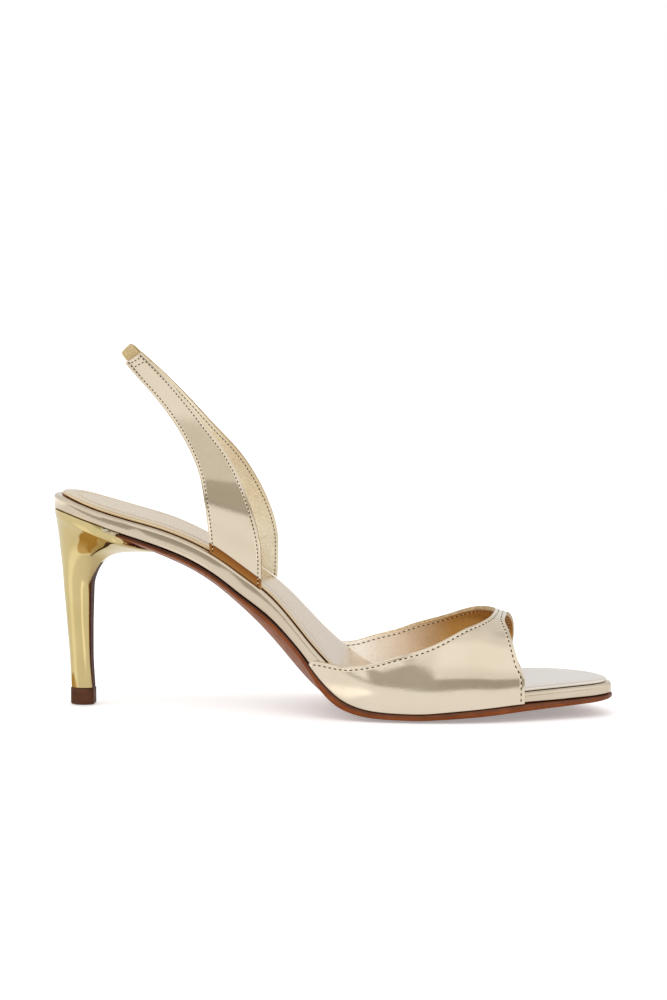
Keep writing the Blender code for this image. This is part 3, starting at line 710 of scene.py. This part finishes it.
def thread_finish(name, dark, light, gloss=0.4):
    f = Finish(name, Roughness=0.6, Specular_IOR_Level=gloss)
    f.set("Base Color", f.clouds(2400.0, 3.0, dark, light))
    f.bump(f.noise(5200.0, 3.0), 0.35, 0.00008)
    return f.material


def elastic_finish(name):
    f = Finish(name, Metallic=0.35, Roughness=0.5)
    f.set("Base Color", f.clouds(1600.0, 4.0, rgb(176, 148, 96), rgb(228, 208, 164)))
    f.bump(f.noise(3400.0, 4.0), 0.5, 0.00012)
    return f.material


# Painted shade: the rim's foil is a darker copy of the vamp's foil
FOIL = mirror_leather("foil_leather", dark=rgb(208, 192, 170), light=rgb(216, 202, 181))
FOIL_VAMP = mirror_leather("foil_leather_vamp", VAMP_SEAM)
# The strap's foil carries a painted crevice shade near the rim
FOIL_SLING = mirror_leather("foil_leather_sling", SLING_SEAM, SLING_CREVICE_SHADE)
# The last colour is a painted highlight at the throat's rear end
LINING = lining("grained_gold_lining", rgb(196, 142, 66), rgb(214, 166, 92), rgb(255, 250, 238))
LINING_SLING = lining("grained_pale_lining", rgb(250, 238, 212), rgb(255, 248, 226))
CUT = cut_edge("cut_edge")
PEARL = pearl("pearl_sock")
PLATED = plated("plated_gold")
BREAST = brown_leather("breast_brown", rgb(58, 26, 12), rgb(84, 40, 20), (0.5, 0.65), 0.6, gloss=0.1)
SOLE = brown_leather("sole_leather", rgb(128, 70, 36), rgb(156, 90, 50), (0.3, 0.45), coat=0.04)
SOLE_EDGE_FINISH = brown_leather("sole_edge", rgb(116, 58, 26), rgb(148, 82, 42), (0.3, 0.45),
                                 gloss=0.08)
# Painted shade: the sole's upper side band is a darker copy of its side, darker still at the waist
SOLE_SHADE = brown_leather("sole_upper_edge_shade", rgb(94, 50, 26), rgb(124, 70, 38), (0.25, 0.4), coat=0.1,
                           gloss=0.25, waist=rgb(172, 160, 150))
SOLE_DARK = brown_leather("sole_seam", rgb(88, 48, 26), rgb(116, 68, 40), (0.45, 0.6))
# Painted shade: the channel between rim and sock is painted golden brown for the shaded gap there
CHANNEL_SHADE = brown_leather("gold_channel_shade", rgb(150, 104, 56), rgb(184, 138, 84), (0.3, 0.5), 0.5, gloss=0.3)
LIFT = brown_leather("heel_tip", rgb(70, 40, 24), rgb(98, 60, 38), (0.45, 0.6), 0.7)
THREAD = thread_finish("thread", rgb(214, 196, 158), rgb(238, 226, 200))
# Painted shade for the needle holes
HOLE_SHADE = thread_finish("needle_hole_shade", rgb(44, 26, 12), rgb(70, 44, 24), 0.0)
ELASTIC = elastic_finish("gathered_elastic")


def dress(obj, slot, *materials, node_name=None):
    for material in materials:
        obj.data.materials.append(material)
    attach(obj, "root")
    if node_name:
        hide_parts(node_name)
    return obj


# Insole, sock and outsole
def drop(base, depth):
    """A height function of the part, lowered by a depth."""
    return lambda x, y: base(x, y) - depth


def rim_over(x, y):
    return rim_top(x)


def make_insole():
    edge = outline(stations(230), lambda x: -RIM_TUCK)
    channel = drop(rim_over, 0.14)
    spec = [(0, 0.80, channel), (0, 0.5, channel), (0, 0.3, channel)]
    spec += [(SOCK_INSET + 0.9, 0, channel), (SOCK_INSET + 0.25, 0, channel)]
    spec += [(SOCK_INSET - 0.1, 0, drop(rim_over, 0.10)), (SOCK_INSET - 0.4, 0, drop(rim_over, 0.06))]
    spec += [(SOCK_INSET - 0.9, 0, rim_over)]
    for k in range(7):
        turn = math.pi / 2 * k / 6
        down = drop(rim_over, RIM_ROUND * (1 - math.cos(turn)))
        spec.append((RIM_ROUND * (1 - math.sin(turn)), 0, down))
    spec.append((0, 0, lambda x, y: (rim_top(x) + board_under(x, y)) / 2))
    tuck, high = 0.7, 0.9
    for k in range(5):
        turn = math.pi / 2 * k / 4
        spec.append((tuck * (1 - math.cos(turn)), 0, drop(board_under, -high * (1 - math.sin(turn)))))
    spec += [(tuck, share, board_under) for share in (0.08, 0.16, 0.28, 0.42, 0.56, 0.80)]
    # The first bands, the channel under the sock's edge, take the painted shade of the gap
    slots = [1] * 6 + [0] * (len(spec) - 7)
    obj = plate("rim_leather", edge, 0.105, 0.854, spec, slots, sharp=50)
    return dress(obj, "insole", FOIL, CHANNEL_SHADE, node_name="insole")


def make_sock():
    def stand(x):
        toe = np.clip((share_of(x) - 0.5) / 0.35, 0, 1)
        return -RIM_TUCK - SOCK_INSET + (SOCK_INSET - SOCK_TOE_INSET) * toe

    def heel(x):
        return np.clip((0.30 - share_of(x)) / 0.12, 0, 1)

    def top(down, groove=0.0):
        return lambda x, y: rim_top(x) + GAP + SOCK_DEPTH - down - groove * heel(x)

    edge = outline(stations(230), stand)
    low = drop(rim_over, -GAP)
    spec = [(0, share, top(-0.12)) for share in (0.80, 0.62, 0.48, 0.36)]
    spec += [(8.0, 0, top(-0.11)), (6.6, 0, top(-0.09)), (6.1, 0, top(-0.07, 0.10))]
    spec += [(5.8, 0, top(-0.06, 0.30)), (5.5, 0, top(-0.05, 0.10)), (5.0, 0, top(-0.04))]
    spec += [(3.6, 0, top(-0.02)), (2.4, 0, top(0.02))]
    for k in range(1, 8):
        turn = math.pi / 2 * k / 7
        spec.append((1.5 * (1 - math.sin(turn)), 0, top(0.05 + 0.95 * (1 - math.cos(turn)))))
    spec += [(0.15, 0, low)]
    spec += [(0.4, share, low) for share in (0.0, 0.15, 0.45, 0.80)]
    obj = plate("sock_leather", edge, 0.105, 0.854, spec, sharp=60)
    dress(obj, "sock", PEARL, node_name="sock")
    return obj


def make_outsole():
    close = (0.2, 0.5, 1.0, 1.5, 2.1)
    edge = outline(stations(230, station_x(SOLE_START), close),
                   lambda x: SOLE_STAND(share_of(x)) * WELT, blunt=SOLE_BLUNT)
    spec = [(0, share, sole_over) for share in (0.80, 0.55, 0.32, 0.16)]
    spec += [(inset, 0, drop(sole_over, depth)) for inset, depth in (
        (1.2, 0.0), (0.75, 0.02), (0.30, 0.22), (0.10, 0.34), (0.0, 0.66), (0.0, 1.25))]
    spec += [(-0.03, 0, lambda x, y: (sole_over(x, y) + sole_under(x, y)) / 2 - 0.35)]
    spec += [(0, 0, drop(sole_under, -0.42)), (0.14, 0, drop(sole_under, -0.14)), (0.42, 0, sole_under)]
    shares = (0.05, 0.10, 0.18, 0.27, 0.36, 0.45, 0.54, 0.65, 0.75)
    spec += [(0.42, share, sole_under) for share in shares]
    # Seam, upper side band in painted shade, side, underside
    slots = [2] * 7 + [3] * 2 + [1] * 4 + [0] * len(shares)
    obj = plate("sole_leather", edge, 0.178, 0.854, spec, slots, sharp=50)
    return dress(obj, "outsole", SOLE, SOLE_EDGE_FINISH, SOLE_DARK, SOLE_SHADE, node_name="outsole")


# Vamp
def last_point(x, turn):
    """Points of the vamp's outer face. turn runs from the medial feather to the lateral one."""
    angle = np.pi * turn
    wide = (half_width(x, -1) + half_width(x, 1)) / 2 - RIM_TUCK + GAP + VAMP_WALL
    rise = RISE(share_of(x)) * INSTEP_RISE
    cosine = np.cos(angle)
    up = rise * np.maximum(0.0, np.sin(angle)) ** 0.62
    y = middle(x) - (wide - VAMP_LEAN * up * up / rise) * np.sign(cosine) * np.abs(cosine) ** 0.75
    z = edge_under(x) + up
    return np.stack(np.broadcast_arrays(x, y, z), -1)


def even_turns(count, x):
    fine = np.linspace(0, 1, 2401)
    pts = last_point(np.full(len(fine), float(x)), fine)
    run = np.concatenate([[0], np.cumsum(np.linalg.norm(np.diff(pts, axis=0), axis=1))])
    return np.interp(np.linspace(0, run[-1], count + 1), run, fine)


def make_vamp():
    turns = even_turns(260, station_x(0.70))
    x0, x1 = station_x(THROAT(turns)), station_x(TOE(turns))
    # Close rows beside both edges, where the wall is rounded
    near = np.array([0.0, 0.35, 0.7, 1.1, 1.6, 2.2, 3.0, 4.0])
    rows = []
    for a, b in zip(x0, x1):
        width = b - a
        lap = near * min(1.0, width * 0.42 / near[-1])
        inner = np.linspace(a + lap[-1], b - lap[-1], 36)[1:-1]
        rows.append(np.concatenate([a + lap, inner, (b - lap)[::-1]]))
    xs = np.array(rows)
    grid = last_point(xs, turns[:, None])
    rims = np.concatenate([grid[:, 0], grid[:, -1]])
    flat = grid.reshape(-1, 3)
    away = np.min([np.min(np.linalg.norm(flat[:, None] - rims[None, k:k + 60], axis=2), axis=1)
                   for k in range(0, len(rims), 60)], axis=0)
    obj = sheet_object("vamp_leather", grid, away)
    shell(obj, VAMP_WALL, -1.0, 0.5)
    dress(obj, "vamp", FOIL_VAMP, LINING, CUT, node_name="vamp")
    return grid


def sling_point(way, across, side):
    rear_x, front_x = station_x(STRAP[1](way)), station_x(STRAP[3](way))
    x = rear_x + (front_x - rear_x) * across
    z = (STRAP[2](way) * (1 - across) + STRAP[4](way) * across) * SEAT_RISE
    settle = np.maximum(0.0, 1 - way / 0.10)
    z = z * (1 - settle) + (rim_top(x) + GAP) * settle
    spread = STRAP[5](way) * BALL_WIDTH
    base = half_width(x, side) - RIM_TUCK - SLING_INSET - SLING_WALL / 2
    ease = np.minimum(1.0, way / 0.26)
    ease = ease * ease * (3 - 2 * ease)
    y = base * (1 - ease) + spread * ease
    if side > 0:
        x = x + LEAN(way) * SLING_FORWARD
    return np.stack(np.broadcast_arrays(x, side * y, z), -1)


def make_sling(name, side):
    ways = np.linspace(0, 1, 171)[:, None]
    near = np.array([0, 0.02, 0.05, 0.09, 0.14])
    cuts = np.concatenate([near, np.linspace(0.2, 0.8, 13), (1 - near)[::-1]])
    grid = sling_point(ways, cuts[None, :], side)
    span = np.linalg.norm(grid[:, -1] - grid[:, 0], axis=1)[:, None]
    away = np.minimum(cuts[None, :], 1 - cuts[None, :]) * span
    obj = sheet_object(name + "_leather", grid, away)
    # Height above the rim, which the strap's foil reads for its painted crevice shade
    hold(obj, "crevice_shade_height", grid[..., 2] - rim_top(grid[..., 0]))
    middle_face = 80 * (len(cuts) - 1) + 10
    if obj.data.polygons[middle_face].normal[1] * side < 0:
        obj.data.flip_normals()
    shell(obj, SLING_WALL, 0.0, 0.42)
    dress(obj, "sling", FOIL_SLING, LINING_SLING, CUT, node_name=name)
    return grid


def make_elastic():
    end = (sling_point(1.0, 0.0, -1) + sling_point(1.0, 1.0, -1)) / 2
    before = (sling_point(0.9, 0.0, -1) + sling_point(0.9, 1.0, -1)) / 2
    back = np.array([end[0] - before[0], 0, end[2] - before[2]])
    back /= np.linalg.norm(back)
    across = np.array([back[2], 0, -back[0]])
    origin = np.array([end[0], 0, end[2]])
    inner = abs(end[1]) - SLING_WALL / 2 - GAP - ELASTIC_WALL / 2
    slope = (abs(before[1]) - abs(end[1])) / float(np.linalg.norm(end - before))
    back_off = [-ELASTIC_OVERLAP * (1 - k / 12) for k in range(12)]
    path = [(along, slope * along - inner) for along in back_off]
    for k in range(61):
        turn = math.pi * k / 60
        path.append((ELASTIC_REACH * math.sin(turn), -inner * math.cos(turn)))
    path += [(along, inner - slope * along) for along in back_off[::-1]]
    lanes = np.linspace(-0.5, 0.5, 49)
    grid = []
    for along, y in path:
        centre = origin + back * along + np.array([0, y, 0])
        grid.append([centre + across * ELASTIC_WIDTH * s for s in lanes])
    grid = np.array(grid)
    ribs = ELASTIC_RIB * np.cos(2 * np.pi * lanes * ELASTIC_RIBS)[None, :, None]
    grid = grid + grid_normals(grid) * ribs
    obj = sheet_object("elastic_band", grid)
    shell(obj, ELASTIC_WALL - 2 * ELASTIC_RIB, 0.0, 0.2, 2)
    return dress(obj, "elastic", ELASTIC, ELASTIC, ELASTIC, node_name="sling_elastic")


# Heel and its tip
def shaft_plan(turn):
    full = math.radians(FLAT_TURN)
    angle = full * np.minimum(turn, 0.8) / 0.8
    along = (1 - np.cos(angle)) / (1 - math.cos(full))
    wide = np.where(turn <= 0.8, np.sin(angle), math.sin(full) * (1 - (turn - 0.8) / 0.2))
    return along, wide


HEEL_PARTS = ((0, 0.78, 64), (0.79, 0.81, 5), (0.83, 1.0, 14))
HEEL_TURNS = np.concatenate([np.linspace(*part) for part in HEEL_PARTS])


def heel_ring(way, swell=0.0, level=None):
    base = TOP_LIFT_DEPTH + GAP
    rise = SEAT_RISE - base
    back_x = station_x(SHAFT[1](way)) - swell
    front_x = station_x(SHAFT[3](way)) + swell
    back_z = base + SHAFT[2](way) * rise
    front_z = base + SHAFT[4](way) * rise
    half = SHAFT[5](way) * SEAT_HALF + swell
    blend = np.clip(SHAFT[6](way), 0, 1)
    t = HEEL_TURNS
    shaft = shaft_plan(t)
    along = np.clip(SEAT[1](t), 0, 1) * (1 - blend) + shaft[0] * blend
    wide = SEAT[2](t) * (1 - blend) + shaft[1] * blend
    wide[0] = wide[-1] = 0
    x = back_x + (front_x - back_x) * along
    z = back_z + (front_z - back_z) * along if level is None else np.full(len(t), float(level))
    right = np.column_stack([x, -wide * half, z])
    left = np.column_stack([x, wide * half, z])
    return np.concatenate([right, left[-2:0:-1]])


def make_heel():
    ways = np.linspace(0, 1, 91)
    heel = loft("heel_plating", [heel_ring(w) for w in ways], caps="face", sharp=35)
    high = drop(rim_over, -30.0)
    under = drop(board_under, CUTTER_GAP)
    board = plate("room_for_board", outline(stations(120), lambda x: 3.0), 0.105, 0.854, [
        (0, 0.80, high), (0, 0.3, high), (0, 0, high), (0, 0, under), (3.5, 0, under),
        (3.5, 0.12, under), (3, 0.32, under), (3, 0.55, under), (3, 0.80, under)])
    low = drop(sole_under, CUTTER_GAP)
    rear = stations(120, station_x(SOLE_START) - CUTTER_GAP, (0.4, 1.3))
    sole = plate("room_for_sole", outline(rear, lambda x: 3.0, blunt=1.5), 0.178, 0.854, [
        (0, 0.80, high), (0, 0.3, high), (0, 0, high), (0, 0, low), (3.8, 0, low),
        (3.8, 0.12, low), (3.4, 0.3, low), (3.4, 0.5, low), (3.4, 0.75, low)])
    for cutter in (board, sole):
        cut = heel.modifiers.new(cutter.name, "BOOLEAN")
        cut.operation = "DIFFERENCE"
        cut.solver = "EXACT"
        cut.object = cutter
    bpy.context.view_layer.update()
    made = bpy.data.meshes.new_from_object(heel.evaluated_get(bpy.context.evaluated_depsgraph_get()))
    heel.modifiers.clear()
    heel.data = made
    for cutter in (board, sole):
        bpy.data.objects.remove(cutter)
    breast = []
    for face in made.polygons:
        c = face.center / MM
        breast.append(1 if face.normal[0] > 0.72 and c[2] < BREAST_TOP and c[0] < BREAST_FRONT else 0)
    made.polygons.foreach_set("material_index", np.array(breast, dtype=np.int32))
    made.shade_smooth()
    made.set_sharp_from_angle(angle=math.radians(35))
    return dress(heel, "heel", PLATED, BREAST, node_name="heel")


def make_top_lift():
    depth, swell = TOP_LIFT_DEPTH, TOP_LIFT_SWELL
    rings = [
        heel_ring(1.0, -swell, depth), heel_ring(1.0, swell * 0.4, depth),
        heel_ring(1.0, swell, depth * 0.97), heel_ring(1.0, swell, depth * 0.5),
        heel_ring(1.0, swell, 0.45), heel_ring(1.0, swell * 0.75, 0.2),
        heel_ring(1.0, swell * 0.3, 0.06), heel_ring(1.0, -swell * 0.5, 0.0),
    ]
    obj = loft("heel_tip_rubber", rings, caps="face", sharp=50)
    return dress(obj, "top_lift", LIFT, node_name="top_lift")


make_insole()
make_sock()
make_outsole()
vamp_grid = make_vamp()
slings = {name: make_sling(name, side) for name, side in (("sling_medial", -1), ("sling_lateral", 1))}
make_elastic()
make_heel()
make_top_lift()


# Stitches
VAMP_STITCH = {"pitch": 2.2, "long": 1.2, "wide": 0.46, "high": 0.16}
SLING_STITCH = {"pitch": 1.6, "long": 0.85, "wide": 0.42, "high": 0.14}


def sew(name, slot, lines, tree, side, ends, lift, sizes):
    thread, holes = stitch_rows(name, lines, tree, side, ends, lift, **sizes)
    dress(thread, slot, THREAD)
    dress(holes, slot, HOLE_SHADE)


def make_stitches():
    lines, tree = edge_seams(vamp_grid, VAMP_SEAM)
    outward = tree.find_nearest(Vector(vamp_grid[130, 20]))[1][2]
    side = 1 if outward > 0 else -1
    sew("vamp_stitch", "vamp", lines, tree, side, 1.5, 0.0, VAMP_STITCH)
    sew("vamp_inner", "vamp", lines, tree, -side, 1.5, VAMP_WALL, VAMP_STITCH)
    for name, sign in (("sling_medial", -1), ("sling_lateral", 1)):
        grid = slings[name]
        lines, tree = edge_seams(grid, SLING_SEAM)
        for share in (0.990, 0.976):
            k = int(share * (len(grid) - 1))
            width = grid[k, -1] - grid[k, 0]
            lines.append(np.array([grid[k, 0] + width * s for s in np.linspace(0.2, 0.8, 9)]))
        outward = tree.find_nearest(Vector(grid[80, 8]))[1][1] * sign
        side = 1 if outward > 0 else -1
        for label, face in (("outer", side), ("inner", -side)):
            sew(f"{name}_{label}", "sling", lines, tree, face, 0.9, SLING_WALL / 2, SLING_STITCH)


make_stitches()


# Studio
def make_floor():
    """White paper that emits light. The camera sees it plain, and the painted shade and painted light
    on it show only in the polished skins.
    """
    mesh = bpy.data.meshes.new("floor")
    reach = 9.0
    corners = [(-reach, -reach, 0), (reach, -reach, 0), (reach, reach, 0), (-reach, reach, 0)]
    mesh.from_pydata(corners, [], [(0, 1, 2, 3)])
    floor = bpy.data.objects.new("floor", mesh)
    scene.collection.objects.link(floor)
    floor.location.z = -0.0002
    f = Finish("floor_paper", Roughness=0.6)
    x, y, _ = f.split()
    mirrored = f.math("SUBTRACT", 1.0, f.camera_ray())
    paper = f.clouds(3.0, 2.0, (0.90, 0.90, 0.90, 1), (0.91, 0.91, 0.91, 1))
    # Painted shade: in reflections the paper is painted darker than the camera sees it
    paper = f.mix(mirrored, paper, f.mix(1.0, paper, (0.86, 0.86, 0.86, 1), "MULTIPLY"))
    # Painted reflection: in front of the picture the floor is painted dim for all but camera rays, but
    # for a lane
    lane = f.product(f.step(x, -0.08, -0.03), f.step(x, 0.080, 0.035))
    beyond = f.product(f.step(y, -0.49, -0.60), f.math("SUBTRACT", 1.0, lane), mirrored)
    # Painted reflection: a small brown patch on the floor behind the heel, seen by all but camera rays,
    # for the dark patch in the heel's wing
    painted_patch_at = {0: f.place, 1: (-0.036, 0.008, 0.0)}
    aside = node(f.tree, "ShaderNodeVectorMath", painted_patch_at, operation="DISTANCE").outputs["Value"]
    painted_patch = f.product(f.step(aside, 0.034, 0.028), mirrored)
    paper = f.mix(painted_patch, paper, (0.50, 0.30, 0.07, 1))
    f.set("Base Color", f.mix(beyond, paper, (0.42, 0.40, 0.36, 1)))
    # Painted light: the floor emits light, more far off, and emits a soft round patch and a bright
    # strip beside the heel, seen by all but camera rays
    far = node(f.tree, "ShaderNodeVectorMath", {0: f.place}, operation="LENGTH").outputs["Value"]
    painted_glow = f.product(f.step(far, 0.45, 1.3, 0.4), f.step(y, 0.0, 0.5))
    turn = f.bearing(f.math("SUBTRACT", x, 0.008), y)
    painted_pool_light = f.product(f.step(f.apart(turn, -66.0), 24.0, 7.0, 0.26), f.step(far, 0.40, 0.20), mirrored)
    strip = f.product(f.step(f.apart(x, 0.052), 0.027, 0.012, 0.45), f.step(y, -0.070, -0.095),
                      f.step(far, 0.20, 0.165), mirrored)
    # Painted light: the whole floor emits, more for camera rays, less where it is painted dim
    base = f.product(f.less(beyond, 1.0), f.less(painted_patch, 1.0), f.span(mirrored, 0.0, 1.0, 0.30, 0.12))
    for part in (painted_pool_light, strip, base):
        painted_glow = f.math("ADD", painted_glow, part)
    f.set("Emission Color", WHITE)
    f.set("Emission Strength", painted_glow)
    floor.data.materials.append(f.material)


def make_world():
    """Soft tent round the shoe: white for the camera, and in the skins a set with dim parts."""
    world = bpy.data.worlds.new("studio")
    scene.world = world
    world.use_nodes = True
    world.node_tree.nodes.clear()
    g = Graph(world.node_tree, "Generated")
    x, y, z = g.split()
    east = g.bearing(x, y)
    high = g.product(g.math("ARCSINE", z), DEGREES)
    # The set beyond the table is dim: a low band, a corner left of the front light, a strip above
    band = g.product(g.step(high, 8.5, 6.5), g.step(east, -25.0, -22.0), g.step(east, 62.0, 40.0))
    left = g.step(g.math("SUBTRACT", east, high), -25.0, -22.5)
    right = g.step(g.math("ADD", east, g.product(high, 0.15)), 4.0, 2.0)
    corner = g.product(left, right, g.step(high, 31.0, 26.0))
    above = g.product(g.step(high, 60.0, 50.0), g.step(east, 1.0, -0.5), g.step(east, -6.0, -4.0), 0.50)
    dim = g.math("MAXIMUM", g.math("MAXIMUM", band, corner), above)
    # The front light grows brighter upwards from that band, and the roof is dimmer than the front
    front = g.product(g.step(east, 2.0, 5.0), g.step(east, 80.0, 60.0))
    low = g.product(front, g.step(high, 27.0, 10.0))
    roof = g.step(high, 55.0, 68.0)
    behind = g.step(g.math("ABSOLUTE", east), 95.0, 150.0)
    level = 1.03
    for part, share in ((roof, 0.14), (behind, 0.20), (front, -0.05), (low, 0.15)):
        level = g.less(part, share, level)
    level = g.product(level, g.less(dim, 0.50))
    warm = {0: level, 1: g.product(level, g.less(dim, 0.05)), 2: g.product(level, g.less(dim, 0.16))}
    tone = node(g.tree, "ShaderNodeCombineColor", warm).outputs[0]
    light = node(g.tree, "ShaderNodeBackground", {"Color": tone, "Strength": 1.0}).outputs[0]
    plain = node(g.tree, "ShaderNodeBackground", {"Color": WHITE, "Strength": 1.0}).outputs[0]
    mixed = node(g.tree, "ShaderNodeMixShader", {0: g.camera_ray(), 1: light, 2: plain}).outputs[0]
    node(g.tree, "ShaderNodeOutputWorld", {0: mixed})


def hang(data, place, aim):
    """Lamp at a place, turned to its aim, that the polished skins don't mirror."""
    lamp = bpy.data.objects.new(data.name, data)
    lamp.location = place
    lamp.rotation_euler = (Vector(aim) - Vector(place)).to_track_quat("-Z", "Y").to_euler()
    lamp.visible_glossy = False
    scene.collection.objects.link(lamp)


def make_lights():
    for name, place, size, power in (
        ("top_box", (0.05, -0.45, 1.5), 1.3, 3.6),
        ("back_box", (0.1, 1.3, 0.9), 0.9, 2.5),
        ("side_box", (-1.2, -0.5, 0.7), 0.6, 1.5),
    ):
        data = bpy.data.lights.new(name, "AREA")
        data.shape = "SQUARE"
        data.size = size
        data.energy = power
        hang(data, place, (0.1, 0, 0.05))
    # On the rear end of the vamp's lining
    data = bpy.data.lights.new("throat_spot", "SPOT")
    data.energy = 5.0
    data.spot_size = math.radians(5.5)
    data.spot_blend = 0.6
    data.shadow_soft_size = 0.01
    hang(data, (0.04, -0.30, 0.34), (0.116, 0.036, 0.019))


make_floor()
make_world()
make_lights()
scene.view_settings.view_transform = "Standard"
scene.view_settings.look = "None"
